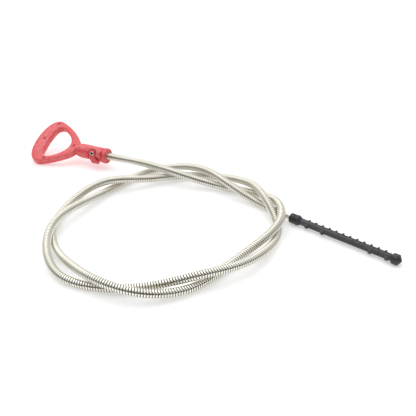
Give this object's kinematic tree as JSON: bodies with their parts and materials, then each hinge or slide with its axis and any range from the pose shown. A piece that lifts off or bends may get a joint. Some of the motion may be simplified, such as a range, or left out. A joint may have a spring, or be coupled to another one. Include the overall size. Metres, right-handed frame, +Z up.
{
  "type": "flexible dipstick",
  "caption": "Flexible fluid-level dipstick: finger-loop handle with a side latch, close-wound spring shaft lying in a loose coil, and a graduated measuring tip.",
  "frame": {"origin": "on the bench, under the middle of the box round the handle and the measuring tip, with the flexible shaft left out of the measurement", "axes": "+X to the right along the greatest length, from the handle towards the measuring tip; +Y away from the viewer; +Z up from the bench"},
  "size_m": [0.2518, 0.2042, 0.0208],
  "materials": {
    "handle_plastic": "satin moulded",
    "latch_plastic": "satin moulded, a little darker",
    "collar_plastic": "satin moulded",
    "pin_plastic": "satin moulded, a little darker",
    "pivot_steel": "bright turned",
    "spring_steel": "close-wound wire, warm satin",
    "ferrule_metal": "satin turned",
    "gauge_plastic": "satin moulded"
  },
  "bodies": {
    "dipstick": {"handle_shell_upper": "handle_plastic", "handle_shell_lower": "handle_plastic", "shell_pin_1": "pin_plastic", "shell_pin_2": "pin_plastic", "shell_pin_3": "pin_plastic", "shell_pin_4": "pin_plastic", "end_collar": "collar_plastic", "pivot_pin": "pivot_steel", "flex_shaft": "spring_steel", "tip_ferrule": "ferrule_metal", "tip_socket": "gauge_plastic", "gauge_stick": "gauge_plastic", "end_knob": "gauge_plastic"},
    "latch": {"latch": "latch_plastic"}
  },
  "joints": [
    {"name": "latch_hinge", "type": "hinge", "parent": "dipstick", "child": "latch", "pos_m": [-0.07757, 0.04557, 0.01141], "axis": [0.3861, 0.828, -0.4067], "range_deg": [0, 25]}
  ]
}
